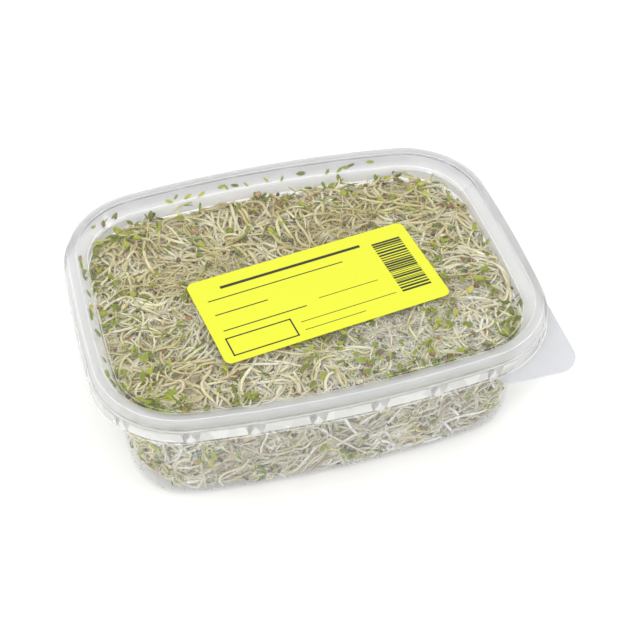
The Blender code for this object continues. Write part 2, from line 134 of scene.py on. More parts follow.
# Stems, the short ones that carry leaves, and root hairs.
STEM_LENGTHS = (0.014, 0.034)
STEM_THIN = 0.00046
STEM_THICK = 0.00084
STEM_SPACING = 0.0017
HEAD_LENGTHS = (0.008, 0.016)
HEAD_RADII = (0.00040, 0.00058)
HEAD_BEND = 0.9
HEADS_TOP = 430
HEADS_SIDE = 300
HEADS_BASE = 50
HAIR_LENGTHS = (0.006, 0.016)
HAIR_RADII = (0.00009, 0.00020)
HAIR_BEND = 3.0
HAIRS_TOP = 2300
HAIRS_SIDE = 1500
EVEN_A = 1 / 1.324718
EVEN_B = EVEN_A ** 2

# Their tones. A paler direction is a slope in the share of pale clumps, per metre: partly the tangle's own
# tone, partly painted light.
STEM_GLOW = 0.60
CLUMP_BROWN = (0.75, 0.69, 0.50)
CLUMP_MID = (0.95, 0.925, 0.85)
NO_CHANGE = (1.0, 1.0, 1.0)
TONE_AND_PAINTED_LIGHT_ON_TOP = (0.3, -3.0, 0.0)
TONE_AND_PAINTED_LIGHT_AT_SIDES = (1.2, -2.2, 0.0)

# Seed leaves, hulls and drops.
LEAF_LENGTHS = (0.0034, 0.0049)
LEAF_THICKNESS = 0.00040
LEAF_RINGS = 6
LEAF_SIDES = 6
CLUMP_SPREAD = 0.0034
EDGE_INSET = 0.0145
EDGE_SHARE = 0.30
FRONT_SHARE = 0.40
RIM_LEAVES = 44
HULL_LENGTH = 0.0027
HULL_SIDES = 7
HULL_SHARE = 0.12
DROPS = 1500
DROP_SIDES = 5


def unit(vectors):
    return vectors / np.maximum(np.linalg.norm(vectors, axis=-1, keepdims=True), 1e-9)


def in_space(flat):
    """Flat vectors as vectors in space."""
    return np.concatenate([flat, np.zeros_like(flat[..., :1])], -1)


def circle(sides):
    angles = 2 * np.pi * np.arange(sides) / sides
    return np.cos(angles), np.sin(angles)


# Outlines.

def arcs_of_plan(inset, radius):
    """The three arcs of the +X +Y quarter: centre, radius, first and last angle."""
    long_arc = LONG_ARC - inset
    short_arc = SHORT_ARC - inset
    long_centre = Vector((0.0, LID_WIDTH / 2 - LONG_ARC))
    short_centre = Vector((LID_LENGTH / 2 - SHORT_ARC, 0.0))
    to_long = long_arc - radius
    to_short = short_arc - radius
    between = short_centre - long_centre
    span = between.length
    along = (to_long ** 2 - to_short ** 2 + span ** 2) / (2 * span)
    across = math.sqrt(to_long ** 2 - along ** 2)
    ahead = between / span
    corner = long_centre + ahead * along + Vector((ahead.y, -ahead.x)) * across
    start = corner - long_centre
    end = corner - short_centre
    start_angle = math.atan2(start.y, start.x)
    end_angle = math.atan2(end.y, end.x)
    return (
        (long_centre, long_arc, math.pi / 2, start_angle),
        (corner, radius, start_angle, end_angle),
        (short_centre, short_arc, end_angle, 0.0),
    )


def quarter(inset, radius, steps=PLAN_STEPS):
    points = []
    for (centre, arc, first, last), count in zip(arcs_of_plan(inset, radius), steps):
        for step in range(count):
            angle = first + (last - first) * step / count
            points.append((centre.x + arc * math.cos(angle), centre.y + arc * math.sin(angle)))
    points.append((LID_LENGTH / 2 - inset, 0.0))
    return points


def plan(inset, radius, steps=PLAN_STEPS):
    """The whole plan outline, clockwise from the middle of the +Y side."""
    points = quarter(inset, radius, steps)
    outline = []
    for sign_x, sign_y in ((1, 1), (1, -1), (-1, -1), (-1, 1)):
        run = points[:-1] if sign_x == sign_y else points[:0:-1]
        outline += [(sign_x * x, sign_y * y) for x, y in run]
    return outline


def lid_corner(inset):
    return CORNER_RADIUS - inset


def tub_corner(inset, height):
    blend = min(1.0, max(0.0, (FLANGE_HEIGHT + 0.004 - height) / 0.008))
    return CORNER_RADIUS - inset - TUB_CORNER_LOSS * blend


def wall_inset(height, wall=0.0):
    """Inset of the tub's outer face at a height, or with wall given of its inner face."""
    height = np.asarray(height, float)
    below_flange = FLANGE_HEIGHT - np.clip(height, FOOT_RISE, FLANGE_HEIGHT)
    straight = TUB_INSET_AT_FLANGE + TUB_TAPER * below_flange + wall
    drop = np.clip((FOOT_RISE - height) / (FOOT_RISE - wall), 0.0, 1.0)
    return straight + (FOOT_RUN - wall / 2) * (1 - np.sqrt(1 - drop ** 2))


PLAN_ARCS = arcs_of_plan(0.0, CORNER_RADIUS)
ARC_CENTRES = np.array([arc[0] for arc in PLAN_ARCS])
ARC_RADII = np.array([arc[1] for arc in PLAN_ARCS])
LONG_ARC_END = PLAN_ARCS[0][3]
SHORT_ARC_START = PLAN_ARCS[2][2]


def inset_of(points):
    """How far points lie inside the lid's plan, and the direction outwards, for an array of points."""
    flat = np.abs(points[..., :2])
    from_long = flat - ARC_CENTRES[0]
    from_short = flat - ARC_CENTRES[2]
    zone = np.ones(flat.shape[:-1], int)
    zone[np.arctan2(from_long[..., 1], from_long[..., 0]) > LONG_ARC_END] = 0
    zone[np.arctan2(from_short[..., 1], from_short[..., 0]) < SHORT_ARC_START] = 2
    away = flat - ARC_CENTRES[zone]
    reach = np.linalg.norm(away, axis=-1)
    outwards = away / np.maximum(reach, 1e-9)[..., None] * np.where(points[..., :2] < 0, -1.0, 1.0)
    return ARC_RADII[zone] - reach, outwards


def press_inside(points, margin):
    """Moves points off the tub's wall and floor and the lid's panel, as what is packed in a tub lies."""
    points = points.copy()
    points[..., 2] = np.clip(points[..., 2], TANGLE_BASE + margin, TANGLE_TOP - margin)
    depth, outwards = inset_of(points)
    least = wall_inset(points[..., 2] - margin, WALL) + CLEAR + margin
    points[..., :2] -= outwards * np.maximum(least - depth, 0.0)[..., None]
    return points


def shift_inside(shapes, margin):
    """Moves each shape of an array of shapes as a whole, until it is clear of the plastic."""
    shapes = shapes.copy()
    rows = np.arange(len(shapes))
    for _ in range(3):
        over = np.maximum(shapes[..., 2].max(1) - (TANGLE_TOP - margin), 0.0)
        under = np.maximum(TANGLE_BASE + margin - shapes[..., 2].min(1), 0.0)
        shapes[..., 2] += (under - over)[:, None]
        depth, outwards = inset_of(shapes)
        lack = wall_inset(shapes[..., 2], WALL) + CLEAR + margin - depth
        worst = lack.argmax(1)
        shapes[..., :2] -= (outwards[rows, worst] * np.maximum(lack[rows, worst], 0.0)[:, None])[:, None]
    return shapes


# Meshes.

def add_object(name, data):
    item = bpy.data.objects.new(name, data)
    bpy.context.scene.collection.objects.link(item)
    return item


def add_piece(name, vertices, faces, finishes, slot, node, smooth=35.0, finish_of=None):
    """A piece that rides on the root body and stands for a node of the solids."""
    mesh = bpy.data.meshes.new(name)
    mesh.from_pydata(np.asarray(vertices).tolist(), [], [list(face) for face in faces])
    for finish in finishes:
        mesh.materials.append(finish)
    if finish_of is not None:
        mesh.polygons.foreach_set("material_index", np.asarray(finish_of, np.int32))
    if smooth:
        mesh.shade_smooth()
        mesh.set_sharp_from_angle(angle=math.radians(smooth))
    mesh.validate()
    piece = add_object(name, mesh)
    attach(piece, "root")
    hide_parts(node)


def rounded(profile, radius, steps=3):
    """The profile with each inner corner turned into a short curve."""
    points = [np.array(point) for point in profile]
    made = [points[0]]
    for before, corner, after in zip(points, points[1:], points[2:]):
        cut = min(radius, 0.42 * np.linalg.norm(before - corner), 0.42 * np.linalg.norm(after - corner))
        first = corner + unit(before - corner) * cut
        last = corner + unit(after - corner) * cut
        for step in range(steps + 1):
            t = step / steps
            made.append(first * (1 - t) ** 2 + corner * 2 * t * (1 - t) + last * t ** 2)
    made.append(points[-1])
    return made


def stacked_faces(count, steps, sides):
    """Faces of count closed shapes, each a stack of rings of equal sides: first all sides, then the ends."""
    ring = np.arange(sides)
    following = (ring + 1) % sides
    low = (np.arange(count)[:, None, None] * steps + np.arange(steps - 1)[:, None]) * sides
    high = low + sides
    quads = np.stack([low + ring, low + following, high + following, high + ring], -1)
    start = np.arange(count)[:, None] * steps * sides
    end = start + (steps - 1) * sides
    return quads.reshape(-1, 4).tolist() + (start + ring[::-1]).tolist() + (end + ring).tolist()


def loft(rings):
    """Vertices and faces of one closed skin through rings of equal count."""
    rings = np.array(rings)
    return rings.reshape(-1, 3), stacked_faces(1, *rings.shape[:2])


def at_height(outline, height):
    return [(x, y, height) for x, y in outline]


def tubes(lines, radii, ups, sides):
    """Vertices and faces of closed tubes, without twist, along an array of lines by steps by 3."""
    ahead = unit(np.gradient(lines, axis=1))
    upright = np.empty_like(ahead)
    along = ahead[:, 0]
    level = ups[:, 0] - along * np.sum(ups[:, 0] * along, -1, keepdims=True)
    carried = unit(level + along[:, [1, 2, 0]] * 0.01)
    for step in range(lines.shape[1]):
        along = ahead[:, step]
        carried = unit(carried - along * np.sum(carried * along, -1, keepdims=True))
        upright[:, step] = carried
    across = np.cross(ahead, upright)
    cos, sin = circle(sides)
    girth = across[:, :, None] * cos[:, None] + upright[:, :, None] * sin[:, None]
    vertices = lines[:, :, None] + girth * radii[:, :, None, None]
    return vertices.reshape(-1, 3), stacked_faces(*lines.shape[:2], sides)


# Finishes.

class Finish:
    """A Principled material with helpers for its nodes."""

    def __init__(self, name, colour, roughness, alpha=1.0, specular=0.5, coat=0.0):
        self.material = bpy.data.materials.new(name)
        self.material.use_nodes = True
        self.tree = self.material.node_tree
        self.shader = self.tree.nodes["Principled BSDF"]
        self.set("Base Color", (*colour, 1.0))
        self.set("Roughness", roughness)
        self.set("Alpha", alpha)
        self.set("Specular IOR Level", specular)
        self.set("Coat Weight", coat)
        self.set("Coat Roughness", 0.04)
        self.place = self.node("ShaderNodeTexCoord", {}).outputs["Object"]

    def fill(self, node, inputs):
        """Fills inputs of a node: a socket is linked, anything else is a plain value."""
        for name, value in inputs.items():
            if isinstance(value, bpy.types.NodeSocket):
                self.tree.links.new(value, node.inputs[name])
            else:
                node.inputs[name].default_value = value

    def set(self, socket, value):
        self.fill(self.shader, {socket: value})

    def node(self, kind, inputs, **settings):
        made = self.tree.nodes.new(kind)
        for name, value in settings.items():
            setattr(made, name, value)
        self.fill(made, inputs)
        return made

    def noise(self, scale, detail=3.0, roughness=0.5):
        inputs = {"Vector": self.place, "Scale": scale, "Detail": detail, "Roughness": roughness}
        return self.node("ShaderNodeTexNoise", inputs).outputs["Fac"]

    def spread(self, value, low, high, start, end):
        """The value moved from the range start to end into the range low to high."""
        inputs = {"Value": value, "From Min": start, "From Max": end, "To Min": low, "To Max": high}
        return self.node("ShaderNodeMapRange", inputs).outputs["Result"]

    def ramp(self, value, stops):
        made = self.node("ShaderNodeValToRGB", {"Fac": value})
        elements = made.color_ramp.elements
        while len(elements) < len(stops):
            elements.new(0.5)
        for element, (position, colour) in zip(elements, stops):
            element.position = position
            element.color = (*colour, 1.0)
        return made.outputs["Color"]

    def blotches(self, noise, start, end, dark):
        """Dark up to the noise's start, and no change from its end on."""
        return self.ramp(noise, ((start, dark), (end, NO_CHANGE)))

    def paint(self, tone, *shades):
        """Makes a tone, multiplied by each shade in turn, the base colour."""
        for shade in shades:
            inputs = {0: 1.0, 6: tone, 7: shade}
            tone = self.node("ShaderNodeMix", inputs, data_type="RGBA", blend_type="MULTIPLY").outputs[2]
        self.set("Base Color", tone)

    def island(self):
        return self.node("ShaderNodeNewGeometry", {}).outputs["Random Per Island"]

    def bump(self, value, strength, distance):
        inputs = {"Height": value, "Strength": strength, "Distance": distance}
        self.set("Normal", self.node("ShaderNodeBump", inputs).outputs["Normal"])


def plastic(name, colour, alpha, roughness, glow=0.0, waviness=0.0004, coat=0.6):
    """Thin see-through plastic: faintly wavy, with haze that varies. Glow is light let through blurred."""
    finish = Finish(name, colour, roughness, alpha, specular=0.7, coat=coat)
    finish.set("Transmission Weight", glow)
    haze = finish.noise(90.0, 4.0, 0.6)
    finish.set("Roughness", finish.spread(haze, roughness * 0.7, roughness * 1.5, 0.3, 0.7))
    finish.bump(finish.noise(55.0, 2.0), 0.35, waviness)
    return finish.material


def window_finish():
    """The raised windows: milky, and paler than the lid as painted reflection, in faint facets."""
    finish = Finish("window_plastic", WINDOW_MILK_AND_GLEAM, 0.22, 0.62, specular=0.7, coat=0.6)
    facets = finish.node("ShaderNodeTexVoronoi", {"Vector": finish.place, "Scale": 170.0})
    low = tuple(0.80 * part for part in WINDOW_MILK_AND_GLEAM)
    finish.paint(finish.ramp(facets.outputs["Color"], ((0.2, low), (0.7, WINDOW_MILK_AND_GLEAM))))
    finish.bump(finish.noise(160.0, 2.0), 0.3, 0.0004)
    return finish.material


def stem_finish(name, stops, dark, paler=TONE_AND_PAINTED_LIGHT_ON_TOP):
    """Moist pale stems that let light through: each its own tone, paler or browner by clumps, and paler along
    a direction that is partly painted light.
    """
    finish = Finish(name, stops[0][1], 0.50, specular=0.35)
    own = finish.ramp(finish.island(), stops)
    # Blotches the size of small bundles: painted shade where bundles lie deeper, partly brown tone.
    shade_and_brown_blotches = finish.blotches(finish.noise(190.0, 4.0, 0.6), 0.34, 0.58, dark)
    # Paler along this direction: partly the tangle's own tone, partly painted light.
    sides = finish.node("ShaderNodeVectorMath", {0: finish.place, 1: paler}, operation="DOT_PRODUCT")
    patches = {0: finish.noise(48.0, 2.0), 1: sides.outputs["Value"]}
    share = finish.node("ShaderNodeMath", patches, operation="ADD")
    clumps = finish.ramp(share.outputs[0], ((0.36, CLUMP_BROWN), (0.50, CLUMP_MID), (0.64, NO_CHANGE)))
    finish.paint(own, shade_and_brown_blotches, clumps)
    finish.set("Subsurface Weight", STEM_GLOW)
    finish.set("Subsurface Radius", (1.0, 0.85, 0.50))
    finish.set("Subsurface Scale", 0.0026)
    finish.bump(finish.noise(1800.0, 2.0), 0.2, 0.0001)
    return finish.material


def leaf_finish():
    """Seed leaves: olive to yellow-green, a few yellow, mottled, with a soft shine."""
    finish = Finish("seed_leaf", (0.26, 0.33, 0.02), 0.50, specular=0.25)
    own = finish.ramp(finish.island(), (
        (0.00, (0.120, 0.155, 0.003)),
        (0.30, (0.185, 0.230, 0.004)),
        (0.62, (0.255, 0.310, 0.005)),
        (0.90, (0.355, 0.395, 0.010)),
        (1.00, (0.560, 0.490, 0.050)),
    ))
    finish.paint(own, finish.blotches(finish.noise(700.0, 4.0, 0.6), 0.30, 0.65, (0.66, 0.70, 0.55)))
    finish.bump(finish.noise(1500.0, 3.0), 0.3, 0.0001)
    return finish.material


def hull_finish():
    """Seed hulls: brown, red-brown or orange, darker in blotches."""
    finish = Finish("seed_hull", (0.20, 0.08, 0.03), 0.35, specular=0.5)
    own = finish.ramp(finish.island(), (
        (0.00, (0.075, 0.045, 0.022)),
        (0.35, (0.160, 0.080, 0.028)),
        (0.60, (0.260, 0.115, 0.035)),
        (0.82, (0.370, 0.190, 0.065)),
        (1.00, (0.480, 0.270, 0.110)),
    ))
    finish.paint(own, finish.blotches(finish.noise(900.0), 0.35, 0.60, (0.50, 0.45, 0.40)))
    finish.bump(finish.noise(2500.0, 2.0), 0.4, 0.0001)
    return finish.material


def core_finish():
    """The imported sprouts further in, seen between the outer ones: crossing pale streaks on shade."""
    finish = Finish("packed_sprouts", (0.36, 0.33, 0.22), 0.55, specular=0.3)
    shift = finish.node("ShaderNodeTexNoise", {"Vector": finish.place, "Scale": 70.0})
    bent = {0: 0.012, 4: finish.place, 5: shift.outputs["Color"]}
    warp = finish.node("ShaderNodeMix", bent, data_type="VECTOR")
    crossing = {"Vector": warp.outputs[1], "Scale": 330.0}
    streaks = finish.node("ShaderNodeTexVoronoi", crossing, feature="DISTANCE_TO_EDGE")
    tone = finish.ramp(streaks.outputs["Distance"], (
        (0.00, (0.86, 0.80, 0.61)),
        (0.10, (0.80, 0.73, 0.53)),
        (0.35, (0.70, 0.63, 0.42)),
    ))
    finish.paint(tone, finish.blotches(finish.noise(120.0), 0.35, 0.65, (0.78, 0.78, 0.60)))
    finish.bump(finish.spread(streaks.outputs["Distance"], 1.0, 0.0, 0.0, 0.3), 0.8, 0.0008)
    return finish.material


def paper_finish():
    """Fluorescent yellow paper with a faint grain."""
    finish = Finish("yellow_paper", (0.63, 0.655, 0.028), 0.55, specular=0.35)
    grain = finish.noise(900.0, 5.0, 0.7)
    finish.paint(finish.ramp(grain, ((0.25, (0.61, 0.64, 0.026)), (0.75, (0.65, 0.67, 0.032)))))
    finish.bump(grain, 0.25, 0.00005)
    return finish.material


def ink_finish():
    finish = Finish("black_ink", (0.012, 0.012, 0.012), 0.5, specular=0.4)
    grain = finish.noise(2600.0, 3.0, 0.7)
    finish.paint(finish.ramp(grain, ((0.3, (0.008, 0.008, 0.007)), (0.8, (0.045, 0.047, 0.02)))))
    return finish.material


# The tub and its lid.

def tub_profile():
    """(inset, height) from the middle of the base, up the outside, over the hooked rim and down inside."""
    rim = FLANGE_HEIGHT
    turns = range(90, -1, -10)
    outer_foot = [FOOT_RISE * (1 - math.sin(math.radians(turn))) for turn in turns]
    inner_foot = [FOOT_RISE - (FOOT_RISE - WALL) * math.sin(math.radians(turn)) for turn in turns]
    outside = [(float(wall_inset(height)), height) for height in outer_foot]
    outside += [(float(wall_inset(height)), height) for height in (0.022, 0.038, rim)]
    hook = (
        (0.0090, 0.0042), (0.0081, 0.00535), (0.0053, 0.0085), (0.0047, 0.0087),
        (0.00445, 0.0052), (0.00365, 0.0052), (0.00395, 0.0091), (0.0043, 0.0095),
        (0.0055, 0.0095), (0.0059, 0.0091), (0.0087, 0.0059), (0.0098, 0.0042),
    )
    inside = [(float(wall_inset(height, WALL)), height) for height in (rim, 0.038, 0.022)]
    inside += [(float(wall_inset(height, WALL)), height) for height in inner_foot[::-1]]
    return outside + [(inset, rim + rise) for inset, rise in hook] + inside


def make_tub(clear, misty):
    """The tub: clear, but misted over above its wall, where the air under the lid is."""
    profile = tub_profile()
    rings = [at_height(plan(inset, tub_corner(inset, height)), height) for inset, height in profile]
    used = []
    for low, high in zip(profile, profile[1:]):
        mist = min(low[1], high[1]) > FLANGE_HEIGHT - CLEAR and max(low[0], high[0]) > MIST_INSET
        used += [int(mist)] * len(rings[0])
    used += [0, 0]
    add_piece("tub_clear", *loft(rings), [clear, misty], "clear_tub", "tub", finish_of=used)


def lid_profile():
    """(inset, height) from the middle of the panel, over the ridge, down the skirt and back underneath."""
    rim = FLANGE_HEIGHT
    band = STEP_INSET - 0.00005
    return [
        (PANEL_INSET + 0.0010, PANEL_HEIGHT),
        (PANEL_INSET - 0.0001, PANEL_HEIGHT),
        (RIDGE_INNER_INSET - 0.0001, LID_TOP),
        (RIDGE_OUTER_INSET, LID_TOP),
        (0.0017, STEP_HEIGHT + 0.0001),
        (STEP_INSET, STEP_HEIGHT),
        (band, rim + WALL),
        (0.0, rim + WALL),
        (0.0, rim),
        (band + WALL, rim),
        (STEP_INSET + WALL, STEP_HEIGHT - WALL),
        (0.0025, STEP_HEIGHT - WALL + 0.0001),
        (0.0034, LID_TOP - WALL),
        (RIDGE_INNER_INSET - 0.0005, LID_TOP - WALL),
        (0.0096, PANEL_HEIGHT - WALL),
        (PANEL_INSET + 0.0010, PANEL_HEIGHT - WALL),
    ]


def make_lid(panel, slope, ridge, bright, dark):
    """The lid: clear in its panel and slope, milky outside, with a painted highlight line or a painted dark
    line along each fold.
    """
    flats = [panel, slope] + [ridge] * 4 + [slope] * 3 + [ridge] * 4 + [slope, panel]
    # Each fold gets a painted highlight line or a painted dark line, for light that clear plastic gathers at
    # a fold.
    painted_fold_lines = {1: bright, 2: bright, 3: bright, 4: dark, 5: bright, 6: dark, 7: bright}
    profile = rounded(lid_profile(), FOLD)
    rings = [at_height(plan(inset, lid_corner(inset)), height) for inset, height in profile]
    finishes = [panel, slope, ridge, bright, dark]
    used = []
    for level in range(len(rings) - 1):
        corner = (level + 3) // 4
        finish = flats[corner] if level % 4 == 0 else painted_fold_lines.get(corner, flats[corner])
        used += [finishes.index(finish)] * len(rings[0])
    used += [0, 0]
    add_piece("lid_milky", *loft(rings), finishes, "milky_lid", "lid", finish_of=used)


def make_tab(finish):
    """The flat square-cornered lifting tab at the +X -Y corner."""
    root = [(x, -y) for x, y in quarter(0.0002, lid_corner(0.0002), (24, 24, 24))]
    root = [(x, y) for x, y in root if x > TAB_FRONT_START and y < TAB_SIDE_START]
    centre = (TAB_REACH_X - TAB_CORNER, TAB_REACH_Y + TAB_CORNER)
    corner = []
    for step in range(13):
        angle = -math.pi / 2 * step / 12
        corner.append((centre[0] + TAB_CORNER * math.cos(angle), centre[1] + TAB_CORNER * math.sin(angle)))
    side_start = (TAB_REACH_X, TAB_SIDE_START - 0.004)
    front_end = (TAB_FRONT_START + 0.001, TAB_REACH_Y)
    outline = root + [side_start] + corner + [front_end]
    heights = (FLANGE_HEIGHT + CLEAR, FLANGE_HEIGHT + WALL - CLEAR)
    rings = [at_height(outline, height) for height in heights]
    add_piece("lid_tab", *loft(rings), [finish], "milky_lid", "lid")


class Guide:
    """Places by distance along a closed outline, clockwise from the middle of the +Y side."""

    def __init__(self, inset, corner, steps):
        outline = np.array(plan(inset, corner, steps))
        ahead = unit(np.roll(outline, -1, axis=0) - np.roll(outline, 1, axis=0))
        known = np.column_stack([outline, -ahead[:, 1], ahead[:, 0]])
        self.known = np.vstack([known, known[:1]])
        gaps = np.linalg.norm(np.diff(self.known[:, :2], axis=0), axis=1)
        self.lengths = np.concatenate([[0.0], np.cumsum(gaps)])
        self.total = self.lengths[-1]

    def at(self, along):
        """Points of the outline and directions outwards, both flat."""
        along = along % self.total
        known = np.stack([np.interp(along, self.lengths, column) for column in self.known.T], -1)
        return known[..., :2], unit(known[..., 2:])


BAND = Guide(STEP_INSET, lid_corner(STEP_INSET), (60, 50, 40))


def on_band(along, proud, height):
    """A point of the lid's lower band, proud of it by a little."""
    flat, out = BAND.at(np.array(along))
    return (*(flat + out * proud), height)


def lug_spots():
    """Distances of the lugs along the band: on each side, and one midway round each corner."""
    spots = []
    long_side = (LONG_SIDE_LUGS, LUG_SPACING)
    short_side = (SHORT_SIDE_LUGS, SHORT_LUG_SPACING)
    for side, (count, spacing) in enumerate((long_side, short_side, long_side, short_side)):
        middle = side * BAND.total / 4 + LUG_SHIFT
        spots += [middle + (number - (count - 1) / 2) * spacing for number in range(count)]
    spots = sorted(spot % BAND.total for spot in spots)
    following = spots[1:] + [spots[0] + BAND.total]
    corners = [(a + b) / 2 for a, b in zip(spots, following) if b - a > 1.5 * LUG_SPACING]
    return sorted(spot % BAND.total for spot in spots + corners)


def make_lugs(bright, dark):
    """Small three-cornered lugs, proud at the flange and pointed at the step, in a paler plastic that is
    partly a painted glint, each beside a grey hollow drawn as a thin dark sheet of painted shade.
    """
    foot = FLANGE_HEIGHT + WALL
    half = LUG_WIDTH / 2
    lugs, hollow_shade_sheets = [], []
    for spot in lug_spots():
        lugs += [
            on_band(spot - half * 0.7, 0.0001, foot),
            on_band(spot + half * 0.7, 0.0001, foot),
            on_band(spot, 0.0001, foot + LUG_HEIGHT * 0.85),
            on_band(spot, 0.0008, foot),
        ]
        # A thin dark sheet beside each lug: painted shade where the real lid has a hollow.
        for proud in (0.00002, 0.00008):
            for share, rise in ((0.95, LUG_HEIGHT), (0.35, LUG_HEIGHT), (0.80, 0.0004), (1.15, 0.0004)):
                hollow_shade_sheets.append(on_band(spot + half * share, proud, foot + rise))
    faces = []
    for first in range(0, len(lugs), 4):
        faces += [[first + corner for corner in face] for face in LUG_FACES]
    used = [0] * len(faces)
    for face in stacked_faces(len(hollow_shade_sheets) // 8, 2, 4):
        faces.append([len(lugs) + corner for corner in face])
        used.append(1)
    add_piece("lid_lugs", lugs + hollow_shade_sheets, faces, [bright, dark], "milky_lid", "lid", smooth=None,
              finish_of=used)


def make_windows(finish):
    """Flat raised windows with slanted ends, between the lugs of the lower band."""
    low = FLANGE_HEIGHT + WALL + 0.0002
    high = STEP_HEIGHT - 0.0010
    steps = 12
    lugs = lug_spots()
    vertices = []
    for spot, following in zip(lugs, lugs[1:] + [lugs[0] + BAND.total]):
        middle = (spot + following) / 2
        long_half = (following - spot) / 2 - LUG_WIDTH * 0.44
        short_half = long_half - 0.0011
        for step in range(steps + 1):
            share = 2 * step / steps - 1
            for half, height, proud in (
                (long_half, low, -0.0002),
                (long_half - 0.0002, low + 0.0002, WINDOW_PROUD),
                (short_half - 0.0002, high - 0.0002, WINDOW_PROUD),
                (short_half, high, -0.0002),
            ):
                vertices.append(on_band(middle + share * half, proud, height))
    faces = stacked_faces(len(lugs), steps + 1, 4)
    add_piece("lid_windows", vertices, faces, [finish], "milky_lid", "lid", smooth=25.0)


# The label.

def rounded_rectangle(length, width, corner, steps=8):
    outline = []
    for quadrant, (sign_x, sign_y) in enumerate(((1, 1), (-1, 1), (-1, -1), (1, -1))):
        for step in range(steps + 1):
            angle = quadrant * math.pi / 2 + step * math.pi / 2 / steps
            outline.append((
                sign_x * (length / 2 - corner) + corner * math.cos(angle),
                sign_y * (width / 2 - corner) + corner * math.sin(angle),
            ))
    return outline


def on_label(x, y, height):
    """A point of the label's own plane in the row frame."""
    cos, sin = math.cos(LABEL_TURN), math.sin(LABEL_TURN)
    return LABEL_PLACE[0] + x * cos - y * sin, LABEL_PLACE[1] + x * sin + y * cos, LABEL_LOW + height


def make_label(paper):
    rings = []
    for shrink, height in ((0.0, 0.0), (0.0, 0.00022), (0.00006, LABEL_THICKNESS)):
        outline = rounded_rectangle(LABEL_LENGTH - 2 * shrink, LABEL_WIDTH - 2 * shrink, LABEL_CORNER)
        rings.append([on_label(x, y, height) for x, y in outline])
    add_piece("label_paper", *loft(rings), [paper], "yellow_label", "label")


def make_print(ink):
    """A blank form in plain print: ruled lines, an empty box and a block of bars that encodes nothing."""
    draw = np.random.default_rng(SEED)
    # The left edge, the lower edge, the length and the width of each mark.
    marks = [
        (-0.0345, 0.0150, 0.0595, 0.0014),
        (-0.0415, 0.0100, 0.0565, 0.0005),
        (-0.0415, 0.0022, 0.0215, 0.0005),
        (-0.0016, -0.0045, 0.0250, 0.0003),
        (-0.0415, -0.0065, 0.0340, 0.0005),
        (-0.0130, -0.0135, 0.0400, 0.0003),
        (-0.0130, -0.0178, 0.0250, 0.0003),
    ]
    box_left, box_low = -0.0425, -0.0195
    box_length, box_width, rule = 0.0265, 0.0095, 0.0006
    marks += [
        (box_left, box_low, box_length, rule),
        (box_left, box_low + box_width - rule, box_length, rule),
        (box_left, box_low, rule, box_width),
        (box_left + box_length - rule, box_low, rule, box_width),
    ]
    place = -0.0141
    while place < 0.0146:
        thick = THIN_BAR * draw.integers(1, 4)
        marks.append((0.0296, place, 0.0124, thick))
        place += thick + THIN_BAR * draw.integers(1, 3)
    vertices = []
    for left, low, length, width in marks:
        right, high = left + length, low + width
        corners = ((left, low), (right, low), (right, high), (left, high))
        for height in (LABEL_THICKNESS - 0.00002, LABEL_THICKNESS + 0.00003):
            vertices += [on_label(x, y, height) for x, y in corners]
    faces = stacked_faces(len(marks), 2, 4)
    add_piece("label_print", vertices, faces, [ink], "yellow_label", "label", smooth=None)


# The tangle.

SIDE_INSET = 0.0115
SIDE = Guide(SIDE_INSET, tub_corner(SIDE_INSET, 0.0), (40, 30, 24))


def surface_drop(points):
    """How far the tangle's top lies under the panel: most at the back edge, with low hills all over."""
    depth, _ = inset_of(points)
    near = np.clip(1.0 - (depth - EDGE_START) / EDGE_RUN, 0.0, 1.0)
    x, y = points[..., 0], points[..., 1]
    back = np.clip((y + 0.015 + 0.4 * np.minimum(x + 0.05, 0.0)) / 0.065, 0.0, 1.0)
    amount = DROP_FRONT + (DROP_BACK - DROP_FRONT) * back
    hills = np.sin(x * 130 + 1.0) * np.sin(y * 150 + x * 60)
    return amount * near * near * (3 - 2 * near) + HILLS * (1 + hills)


def set_back(outwards, heights):
    """How far the tangle stands off the tub's wall: most in its front left corner."""
    front = np.where(outwards[..., 0] > 0, GAP_FRONT_RIGHT, GAP_FRONT_LEFT)
    gap = np.where(outwards[..., 1] < 0, front, GAP_BACK)
    corner = (2 * np.abs(outwards[..., 0] * outwards[..., 1])) ** 1.5
    side = np.clip(outwards[..., 0], 0.0, 1.0) ** 4
    foot = np.clip((FOOT_RISE + 0.003 - heights) / FOOT_RISE, 0.0, 1.0)
    return gap * corner + GAP_RIGHT * side + FOOT_GAP * foot * foot


def bend_along_wall(points, depth, outwards, least, way):
    """Turns what runs past the wall up or down along it, and gives the direction out of the tangle."""
    past = np.maximum(least - depth, 0.0)
    points[..., 2] += past * way
    points[..., :2] -= outwards * past[..., None]
    ups = np.zeros_like(points)
    ups[..., 2] = -way
    return points, ups


def place_top(runs, depths):
    """Points at depths below the tangle's top. What runs past the wall bends down along it."""
    points = np.concatenate([runs, (TANGLE_TOP - depths)[..., None]], -1)
    points[..., 2] -= surface_drop(points)
    depth, outwards = inset_of(points)
    least = wall_inset(points[..., 2], WALL) + set_back(outwards, points[..., 2]) + depths * 0.5
    return bend_along_wall(points, depth, outwards, least, -1.0)


def place_base(runs, depths):
    """Points at depths above the tub's floor. What runs past the wall bends up along it."""
    points = np.concatenate([runs, (TANGLE_BASE + depths)[..., None]], -1)
    depth, outwards = inset_of(points)
    least = wall_inset(points[..., 2], WALL) + depths * 0.5
    return bend_along_wall(points, depth, outwards, least, 1.0)


